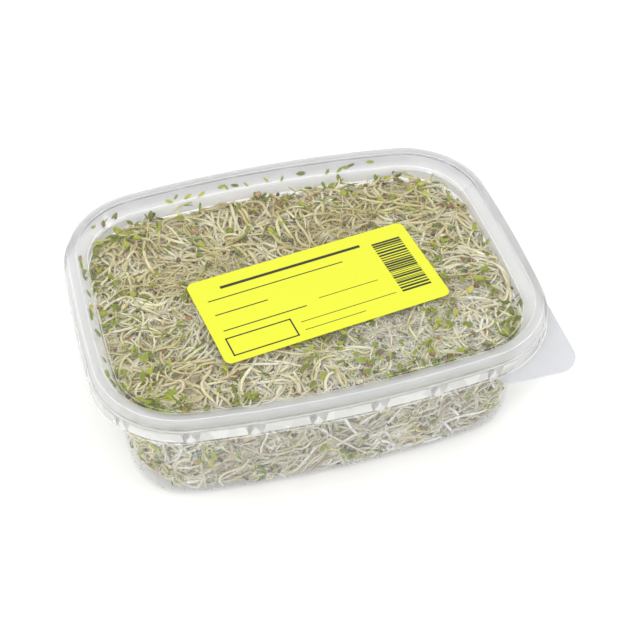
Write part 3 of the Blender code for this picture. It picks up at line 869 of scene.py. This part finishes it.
def place_side(runs, depths):
    """Points at depths behind the wall, for runs of (distance, height), bent over its edges."""
    flat, outwards = SIDE.at(runs[..., 0])
    heights = np.maximum(runs[..., 1], TANGLE_BASE + 0.001)
    shift = SIDE_INSET - wall_inset(heights, WALL) - depths - set_back(outwards, heights)
    shift = shift - (heights - runs[..., 1])
    points = np.concatenate([flat + outwards * shift[..., None], heights[..., None]], -1)
    excess = np.maximum(heights - (TANGLE_TOP - surface_drop(points) - depths), 0.0)
    points[..., 2] -= excess
    points[..., :2] -= outwards * excess[..., None]
    return points, in_space(outwards)


def spots(draw, zone, count):
    """Spots spread evenly over a zone, each shifted a little at random."""
    number = np.arange(count)
    first = (number * EVEN_A + draw.random()) % 1.0
    second = (number * EVEN_B + draw.random()) % 1.0
    if zone is place_side:
        return np.stack([first * SIDE.total, SIDE_LOW + second ** 1.12 * (SIDE_TOP - SIDE_LOW)], -1)
    reach = 0.026 if zone is place_base else 0.0095
    return np.stack([(first - 0.5) * (LID_LENGTH - 2 * reach), (second - 0.5) * (LID_WIDTH - 2 * reach)], -1)


def runs_of(draw, middles, headings, bends, lengths, steps):
    """Curved runs in a plane through their middles, which hook more towards one end."""
    count = len(middles)
    t = np.linspace(0.0, 1.0, steps)
    height = draw.uniform(-0.5, 0.5, (count, 1))
    pitch = draw.uniform(0.6, 1.6, (count, 1))
    waves = height * np.sin(2 * np.pi * (t * pitch + draw.random((count, 1))))
    hooked = draw.choice([0.0, 0.0, 0.0, 1.0, -1.0], (count, 1))
    hooks = hooked * draw.uniform(1.0, 3.0, (count, 1)) * t ** 3
    turned = headings[:, None] + bends[:, None] * (t - 0.5) + waves + hooks
    pace = (lengths / (steps - 1))[:, None]
    moves = np.stack([np.cos(turned), np.sin(turned)], -1) * pace[..., None]
    runs = np.cumsum(moves, axis=1)
    return runs - runs[:, steps // 2:steps // 2 + 1] + middles[:, None]


def loose_runs(draw, middles, bend, lengths, steps):
    """Runs in any direction, bent by about so much, of lengths between two."""
    count = len(middles)
    headings = draw.uniform(0, 2 * np.pi, count)
    bends = draw.normal(0, bend, count)
    return runs_of(draw, middles, headings, bends, draw.uniform(*lengths, count), steps)


def stem_lines(zone, runs, depths, radius):
    """Centre lines, radii and ups of stems along runs at depths behind the plastic."""
    points, ups = zone(runs, depths + radius)
    t = np.linspace(0.0, 1.0, runs.shape[1])
    taper = 0.72 + 0.28 * np.sin(np.pi * np.clip(t * 0.85 + 0.15, 0, 1)) - 0.25 * (t > 0.97)
    return press_inside(points, radius), radius * taper, ups


def make_stems(draw, zone, bundles, per_bundle, steps, deepest):
    """Stems that lie in loose bundles in a zone."""
    count = bundles * per_bundle

    def shared(values, spread):
        """A value for each bundle, a little different in each of its stems."""
        return np.repeat(values, per_bundle) + draw.normal(0, spread, count)

    headings = shared(draw.uniform(0, 2 * np.pi, bundles), 0.20)
    bends = shared(draw.normal(0, 1.4, bundles), 0.5)
    side_step = (np.tile(np.arange(per_bundle), bundles) - (per_bundle - 1) / 2) * STEM_SPACING
    side_step = side_step + draw.normal(0, 0.0010, count)
    ahead_step = draw.normal(0, 0.004, count)
    middles = np.repeat(spots(draw, zone, bundles), per_bundle, axis=0)
    middles[:, 0] += -np.sin(headings) * side_step + np.cos(headings) * ahead_step
    middles[:, 1] += np.cos(headings) * side_step + np.sin(headings) * ahead_step
    runs = runs_of(draw, middles, headings, bends, draw.uniform(*STEM_LENGTHS, count), steps)
    radius = (STEM_THIN + (STEM_THICK - STEM_THIN) * draw.random(count) ** 1.5)[:, None]
    t = np.linspace(0.0, 1.0, steps)
    base = shared(0.0003 + draw.random(bundles) * deepest, 0.0005)
    swing = draw.uniform(0.0004, 0.0022, count)[:, None]
    phase = draw.random(count)[:, None]
    pitch = draw.uniform(0.4, 1.3, count)[:, None]
    depths = np.maximum(base, 0.0)[:, None] + swing * (0.5 - 0.5 * np.cos(2 * np.pi * (phase + pitch * t)))
    return stem_lines(zone, runs, depths, radius)


def clumped(draw, zone, count):
    """Spots in small clumps, more of them along the edges of the panel."""
    clumps = spots(draw, zone, count // 3)
    if zone is place_top:
        to_edge = draw.random(len(clumps)) < EDGE_SHARE
        rim = np.array(plan(EDGE_INSET, lid_corner(EDGE_INSET)))
        low_left = rim[(rim[:, 0] < -0.02) | (rim[:, 1] < -0.02)]
        picked = draw.integers(0, len(low_left), to_edge.sum())
        clumps[to_edge] = low_left[picked] + draw.normal(0, 0.003, (to_edge.sum(), 2))
        to_front = ~to_edge & (draw.random(len(clumps)) < FRONT_SHARE)
        clumps[to_front] = front_right(clumps[to_front])
    picked = draw.integers(0, len(clumps), count)
    return clumps[picked] + draw.normal(0, CLUMP_SPREAD, (count, 2))


def make_heads(draw, zone, count, steps=7):
    """Short stems that come up from the depth and carry seed leaves at their outer end."""
    runs = loose_runs(draw, clumped(draw, zone, count), HEAD_BEND, HEAD_LENGTHS, steps)
    radius = draw.uniform(*HEAD_RADII, count)[:, None]
    t = np.linspace(0.0, 1.0, steps)
    deep = draw.uniform(0.0018, 0.0036, count)[:, None]
    outer = draw.uniform(0.0, 0.0006, count)[:, None]
    if zone is place_top:
        outer = outer - (surface_drop(runs[:, -1]) * draw.uniform(0.0, 1.0, count))[:, None]
    return stem_lines(zone, runs, outer + (deep - outer) * (1 - t) ** 1.4, radius)


def add_sprouts(name, vertices, faces, finishes, smooth=60.0, finish_of=None):
    add_piece(name, vertices, faces, finishes, "sprout_cream", "sprouts", smooth, finish_of)


def add_tubes(name, made, sides, finish):
    lines, radii, ups = made
    add_sprouts(name, *tubes(lines, radii, ups, sides), [finish], smooth=80.0)


def leaf_blades(bases, aheads, normals, lengths, widths, curls, thickness=LEAF_THICKNESS):
    """Closed oval blades, as an array of leaves by points by 3."""
    t = np.array([0.0, 0.12, 0.34, 0.60, 0.84, 1.0])
    half = np.array([0.12, 0.58, 0.95, 1.0, 0.78, 0.22])
    thick = np.array([0.9, 1.0, 1.0, 0.95, 0.85, 0.45])
    cos, sin = circle(LEAF_SIDES)
    across = unit(np.cross(normals, aheads))
    upright = unit(np.cross(aheads, across))
    rise = curls[:, None] * lengths[:, None] * (t[None] ** 2)
    centre = bases[:, None] + aheads[:, None] * (lengths[:, None] * t)[..., None]
    centre = centre + upright[:, None] * rise[..., None]
    wide = (widths[:, None] / 2 * half)[..., None] * cos
    deep = (thickness / 2 * thick)[None, :, None] * sin
    vertices = (
        centre[:, :, None]
        + across[:, None, None] * wide[..., None]
        + upright[:, None, None] * (deep + np.abs(wide) * 0.10)[..., None]
    )
    return vertices.reshape(len(bases), -1, 3)


def leaf_pairs(draw, made):
    """Two seed leaves at the end of each stem, closed or part open, and a place near their tips."""
    lines, _, ups = made
    ends = lines[:, -1]
    aheads = unit(lines[:, -1] - lines[:, -3])
    up = unit(ups[:, -1])
    aheads = unit(aheads - up * np.maximum(np.sum(aheads * up, -1, keepdims=True) - 0.1, 0.0))
    count = len(ends)
    roll = draw.normal(0, 0.75, (count, 1))
    side = unit(np.cross(up, aheads))
    normal = side * np.sin(roll) + np.cross(aheads, side) * np.cos(roll)
    sideways = unit(np.cross(aheads, normal))
    opening = draw.uniform(0.05, 1.0, (count, 1)) ** 1.6 * 0.8
    fan = draw.normal(0, 0.30, (count, 1))
    lengths = draw.uniform(*LEAF_LENGTHS, count)
    widths = lengths * draw.uniform(0.38, 0.50, count)
    pairs = []
    for way in (1.0, -1.0):
        ahead = unit(aheads * np.cos(opening) + normal * way * np.sin(opening) + sideways * way * fan)
        face_out = unit(normal * way - ahead * np.sum(normal * way * ahead, -1, keepdims=True))
        base = ends + normal * way * LEAF_THICKNESS * 0.5
        own_lengths = lengths * draw.uniform(0.88, 1.0, count)
        curls = draw.uniform(-0.06, 0.24, count)
        pairs.append(leaf_blades(base, ahead, face_out, own_lengths, widths, curls))
    return shift_inside(np.concatenate(pairs, axis=1), CLEAR), ends + aheads * 0.0036


def make_hulls(draw, places):
    """Seed hulls: small closed beans, as an array of hulls by points by 3."""
    count = len(places)
    ahead = unit(draw.normal(0, 1, (count, 3)))
    other = unit(np.cross(ahead, draw.normal(0, 1, (count, 3))))
    third = np.cross(ahead, other)
    lengths = HULL_LENGTH * draw.uniform(0.8, 1.15, (count, 1, 1, 1))
    levels = np.array([-1.0, -0.88, -0.5, 0.0, 0.5, 0.88, 1.0])
    girth = np.array([0.12, 0.50, 0.88, 0.94, 0.90, 0.55, 0.12])
    cos, sin = circle(HULL_SIDES)
    bend = 0.10 * (1 - levels ** 2)
    centre = places[:, None, None] + ahead[:, None, None] * (levels[:, None, None] * 0.5) * lengths
    centre = centre + other[:, None, None] * bend[:, None, None] * lengths
    ring = other[:, None, None] * (cos * 0.36)[:, None] + third[:, None, None] * (sin * 0.25)[:, None]
    vertices = centre + ring * girth[:, None, None] * lengths
    shapes = shift_inside(vertices.reshape(count, -1, 3), CLEAR)
    return shapes.reshape(-1, 3), stacked_faces(count, len(levels), HULL_SIDES)


def make_core(finish):
    """The closed bumpy core under the outer sprouts."""
    draw = np.random.default_rng(SEED + 1)
    steps = (24, 18, 14)
    low = TANGLE_BASE + CORE_DEPTH
    high = TANGLE_TOP - CORE_DEPTH
    foot = float(wall_inset(low, WALL)) + CORE_DEPTH + 0.001
    edge = TUB_INSET_AT_FLANGE + WALL + CORE_DEPTH
    levels = [(foot, low, shrink) for shrink in (0.1, 0.3, 0.5, 0.7, 0.9)]
    levels += [(float(wall_inset(height, WALL)) + CORE_DEPTH * 0.85, height, 1.0)
               for height in np.linspace(low, high - 0.001, 22)]
    levels += [(edge, high, shrink) for shrink in np.linspace(0.99, 0.04, 34)]
    rings = []
    for inset, height, shrink in levels:
        outline = np.array(plan(inset, max(0.006, tub_corner(inset, height) - 0.002), steps)) * shrink
        ring = np.column_stack([outline, np.full(len(outline), height)])
        _, outwards = inset_of(ring)
        ring[:, :2] -= outwards * set_back(outwards, ring[:, 2])[:, None] * shrink
        ring[:, 2] = np.minimum(ring[:, 2], high - surface_drop(ring))
        rings.append(ring + draw.uniform(-0.0006, 0.0006, (len(ring), 3)))
    vertices, faces = loft(rings)
    add_sprouts("packed_sprouts", press_inside(vertices, 0.001), faces, [finish])


def hair_lines(draw, zone, middles, steps=8):
    """Fine curly root hairs close behind the plastic."""
    count = len(middles)
    runs = loose_runs(draw, middles, HAIR_BEND, HAIR_LENGTHS, steps)
    radius = draw.uniform(*HAIR_RADII, count)[:, None]
    t = np.linspace(0.0, 1.0, steps)
    depths = 0.0004 + draw.random(count)[:, None] ** 2 * 0.0016
    depths = depths + 0.0006 * (0.5 - 0.5 * np.cos(2 * np.pi * (t * 1.3 + draw.random(count)[:, None])))
    points, ups = zone(runs, depths + radius)
    return press_inside(points, radius), radius * (1.0 - 0.5 * t), ups


def front_right(middles):
    """Gathers half of the spots where the photograph shows the most root hairs."""
    middles = middles.copy()
    half = np.arange(len(middles)) % 2 == 0
    middles[half, 0] = 0.030 + middles[half, 0] * 0.45
    middles[half, 1] = -0.036 + middles[half, 1] * 0.34
    return middles


def make_rim_leaves(draw, leaf, hull):
    """Seed leaves and a few hulls, caught between the tub's rim and the lid's slope, at the back and left."""
    outline = np.array(at_height(plan(0.0, CORNER_RADIUS), 0.0))
    wanted = outline[(outline[:, 1] > 0.03) & (outline[:, 0] < 0.05) | (outline[:, 0] < -0.083)]
    edge = wanted[draw.integers(0, len(wanted), RIM_LEAVES)]
    _, outwards = inset_of(edge)
    out = in_space(outwards)
    up = np.array([0.0, 0.0, 1.0])
    slope = unit(out * SLOPE_OUT + up * SLOPE_UP)
    normal = unit(up * SLOPE_OUT - out * SLOPE_UP)
    along = np.cross(normal, slope) * draw.choice([-1.0, 1.0], (RIM_LEAVES, 1))
    inset = draw.uniform(0.0071, 0.0080, RIM_LEAVES)
    base = edge - out * inset[:, None]
    base[:, 2] = FLANGE_HEIGHT + 0.00595 + (0.0090 - inset) * 1.12
    turn = draw.uniform(-1.1, 0.25, (RIM_LEAVES, 1))
    lengths = draw.uniform(0.0024, 0.0040, RIM_LEAVES)
    ahead = along * np.cos(turn) + slope * np.sin(turn)
    widths = lengths * draw.uniform(0.30, 0.46, RIM_LEAVES)
    shapes = leaf_blades(base, ahead, normal, lengths, widths, np.zeros(RIM_LEAVES), 0.0002)
    faces = stacked_faces(RIM_LEAVES, LEAF_RINGS, LEAF_SIDES)
    leaves = np.arange(RIM_LEAVES)
    owners = np.concatenate([np.repeat(leaves, (LEAF_RINGS - 1) * LEAF_SIDES), leaves, leaves])
    add_sprouts("rim_leaves", shapes.reshape(-1, 3), faces, [leaf, hull], finish_of=owners % 9 == 0)


def make_droplets(draw, finish):
    """Small flattened drops of condensation on the inside of the tub's wall, most of them low down."""
    low = np.column_stack([draw.random(DROPS) * SIDE.total, 0.0025 + draw.random(DROPS) ** 1.8 * 0.040])
    size = 0.00016 + draw.random(DROPS) ** 3 * 0.00040
    flat, outwards = SIDE.at(low[:, 0])
    flat = flat + outwards * (SIDE_INSET - wall_inset(low[:, 1], WALL) + 0.00002)[:, None]
    centre = np.column_stack([flat, low[:, 1]])
    outwards = in_space(outwards)
    along = unit(np.cross(outwards, [0.0, 0.0, 1.0]))
    upright = np.cross(along, outwards)
    cos, sin = circle(DROP_SIDES)
    ring = along[:, None] * cos[:, None] + upright[:, None] * sin[:, None]
    rings = []
    for girth, bulge in ((1.0, 0.0), (0.75, 0.45), (0.15, 0.65)):
        rings.append(centre[:, None] + (ring * girth - outwards[:, None] * bulge) * size[:, None, None])
    vertices = np.stack(rings, 1).reshape(-1, 3)
    faces = stacked_faces(DROPS, len(rings), DROP_SIDES)
    add_piece("drops", vertices, faces, [finish], "clear_tub", "tub", smooth=80.0)


def make_tangle():
    draw = np.random.default_rng(SEED)
    shade = (0.80, 0.75, 0.63)
    cream = stem_finish("stem_cream", (
        (0.00, (0.580, 0.515, 0.325)),
        (0.25, (0.660, 0.605, 0.415)),
        (0.50, (0.725, 0.680, 0.475)),
        (0.80, (0.795, 0.765, 0.590)),
        (1.00, (0.600, 0.600, 0.330)),
    ), shade)
    white = stem_finish("stem_white", (
        (0.00, (0.370, 0.325, 0.225)),
        (0.25, (0.520, 0.485, 0.375)),
        (0.55, (0.680, 0.655, 0.560)),
        (0.85, (0.850, 0.840, 0.780)),
        (1.00, (0.440, 0.450, 0.255)),
    ), shade, TONE_AND_PAINTED_LIGHT_AT_SIDES)
    green = stem_finish("stem_green", (
        (0.00, (0.520, 0.520, 0.240)),
        (0.50, (0.640, 0.620, 0.360)),
        (1.00, (0.740, 0.720, 0.500)),
    ), shade)
    pale = stem_finish("root_pale", (
        (0.00, (0.740, 0.700, 0.520)),
        (0.50, (0.820, 0.795, 0.665)),
        (1.00, (0.890, 0.875, 0.775)),
    ), (0.88, 0.88, 0.84))
    leaf = leaf_finish()
    make_core(core_finish())
    for name, zone, bundles, per_bundle, steps, deepest, sides, finish in (
        ("stems_top_left", place_top, 190, 5, 12, 0.0034, 5, cream),
        ("stems_top_right", place_top, 190, 5, 12, 0.0034, 5, cream),
        ("stems_side_left", place_side, 340, 2, 13, 0.0034, 5, white),
        ("stems_side_right", place_side, 340, 2, 13, 0.0034, 5, white),
        ("stems_side_inner", place_side, 300, 2, 10, 0.0040, 4, white),
        ("stems_base", place_base, 80, 4, 9, 0.0030, 4, cream),
    ):
        stems = make_stems(draw, zone, bundles, per_bundle, steps, deepest)
        add_tubes(name, stems, sides, finish)

    leaves, hull_places = [], []
    for name, zone, count in (
        ("top", place_top, HEADS_TOP),
        ("side", place_side, HEADS_SIDE),
        ("base", place_base, HEADS_BASE),
    ):
        heads = make_heads(draw, zone, count)
        add_tubes("heads_" + name, heads, 5, green)
        pairs, tips = leaf_pairs(draw, heads)
        leaves.append(pairs)
        hull_places.append(tips[draw.random(count) < HULL_SHARE])
        free = spots(draw, zone, count // 9)
        hull_places.append(zone(free, np.full(len(free), 0.0010))[0])
    leaves = np.concatenate(leaves).reshape(-1, 3)
    faces = stacked_faces(len(leaves) // (LEAF_RINGS * LEAF_SIDES), LEAF_RINGS, LEAF_SIDES)
    add_sprouts("seed_leaves", leaves, faces, [leaf])
    hulls = make_hulls(draw, np.vstack(hull_places))
    hull = hull_finish()
    add_sprouts("seed_hulls", *hulls, [hull], smooth=70.0)
    make_rim_leaves(draw, leaf, hull)
    top_hairs = hair_lines(draw, place_top, front_right(spots(draw, place_top, HAIRS_TOP)))
    add_tubes("root_hairs_top", top_hairs, 3, pale)
    side_hairs = hair_lines(draw, place_side, spots(draw, place_side, HAIRS_SIDE))
    add_tubes("root_hairs_side", side_hairs, 3, pale)
    make_droplets(draw, plastic("water_drop", (0.52, 0.53, 0.54), 0.34, 0.05))


# Staging.

def make_camera():
    camera = bpy.data.cameras.new("camera")
    camera.lens = CAMERA_LENS
    camera.sensor_width = SENSOR
    item = add_object("camera", camera)
    columns = (Vector(CAMERA_RIGHT), Vector(CAMERA_UP), -Vector(CAMERA_AHEAD))
    turn = Matrix(columns).transposed().to_quaternion().to_matrix().to_4x4()
    item.matrix_world = Matrix.Translation(CAMERA_PLACE) @ turn
    bpy.context.scene.camera = item


def add_softbox(name, place, size, radiance):
    """An area light that faces the tub, given by how bright its surface is."""
    light = bpy.data.lights.new(name, "AREA")
    light.shape = "RECTANGLE"
    light.size, light.size_y = size
    light.energy = radiance * math.pi * size[0] * size[1]
    item = add_object(name, light)
    item.location = place
    item.rotation_euler = (TUB_MIDDLE - Vector(place)).to_track_quat("-Z", "Y").to_euler()


def make_stage():
    finish = Finish("pale_floor", (0.88, 0.88, 0.88), 0.9, specular=0.1)
    mesh = bpy.data.meshes.new("floor")
    far = 3.0
    mesh.from_pydata([(-far, -far, 0), (far, -far, 0), (far, far, 0), (-far, far, 0)], [], [(0, 1, 2, 3)])
    mesh.materials.append(finish.material)
    floor = add_object("floor", mesh)
    world = bpy.data.worlds.new("studio")
    world.use_nodes = True
    sky = world.node_tree.nodes["Background"]
    sky.inputs["Color"].default_value = (1.0, 1.0, 1.0, 1.0)
    sky.inputs["Strength"].default_value = 1.15
    bpy.context.scene.world = world
    add_softbox("key_left", (-0.7, -0.6, 1.2), (1.0, 1.0), 1.8)
    add_softbox("strip_left", (-0.75, -0.55, 0.35), (0.10, 0.55), 16.0)
    add_softbox("strip_right", (0.80, -0.45, 0.45), (0.10, 0.55), 14.0)
    bpy.context.scene.view_settings.view_transform = "Standard"
    bpy.context.scene.cycles.transparent_max_bounces = 48


def main():
    make_camera()
    make_stage()
    # Painted dark lines along the lid's folds, and painted shade in the hollows beside the lugs.
    dark = plastic("painted_shade_plastic", (0.26, 0.27, 0.27), 0.32, 0.14)
    make_tub(
        plastic("tub_plastic", (0.44, 0.46, 0.50), 0.11, 0.10),
        plastic("misty_plastic", (0.74, 0.745, 0.755), 0.70, 0.45, 0.45),
    )
    make_lid(
        plastic("panel_plastic", (0.46, 0.45, 0.40), 0.050, 0.12),
        plastic("slope_plastic", (0.40, 0.41, 0.42), 0.08, 0.12),
        plastic("lid_plastic", (0.540, 0.550, 0.545), 0.47, 0.45, 0.48),
        # Painted highlight lines along the lid's folds.
        plastic("painted_highlight_fold", (0.80, 0.81, 0.81), 0.40, 0.10),
        dark,
    )
    make_tab(plastic("tab_plastic", (0.52, 0.535, 0.56), 0.55, 0.16))
    # The lugs' plastic is paler than the lid's: partly milkier plastic, partly a painted glint.
    make_lugs(plastic("lug_plastic", (0.68, 0.68, 0.67), 0.50, 0.14), dark)
    make_windows(window_finish())
    make_label(paper_finish())
    make_print(ink_finish())
    make_tangle()


main()
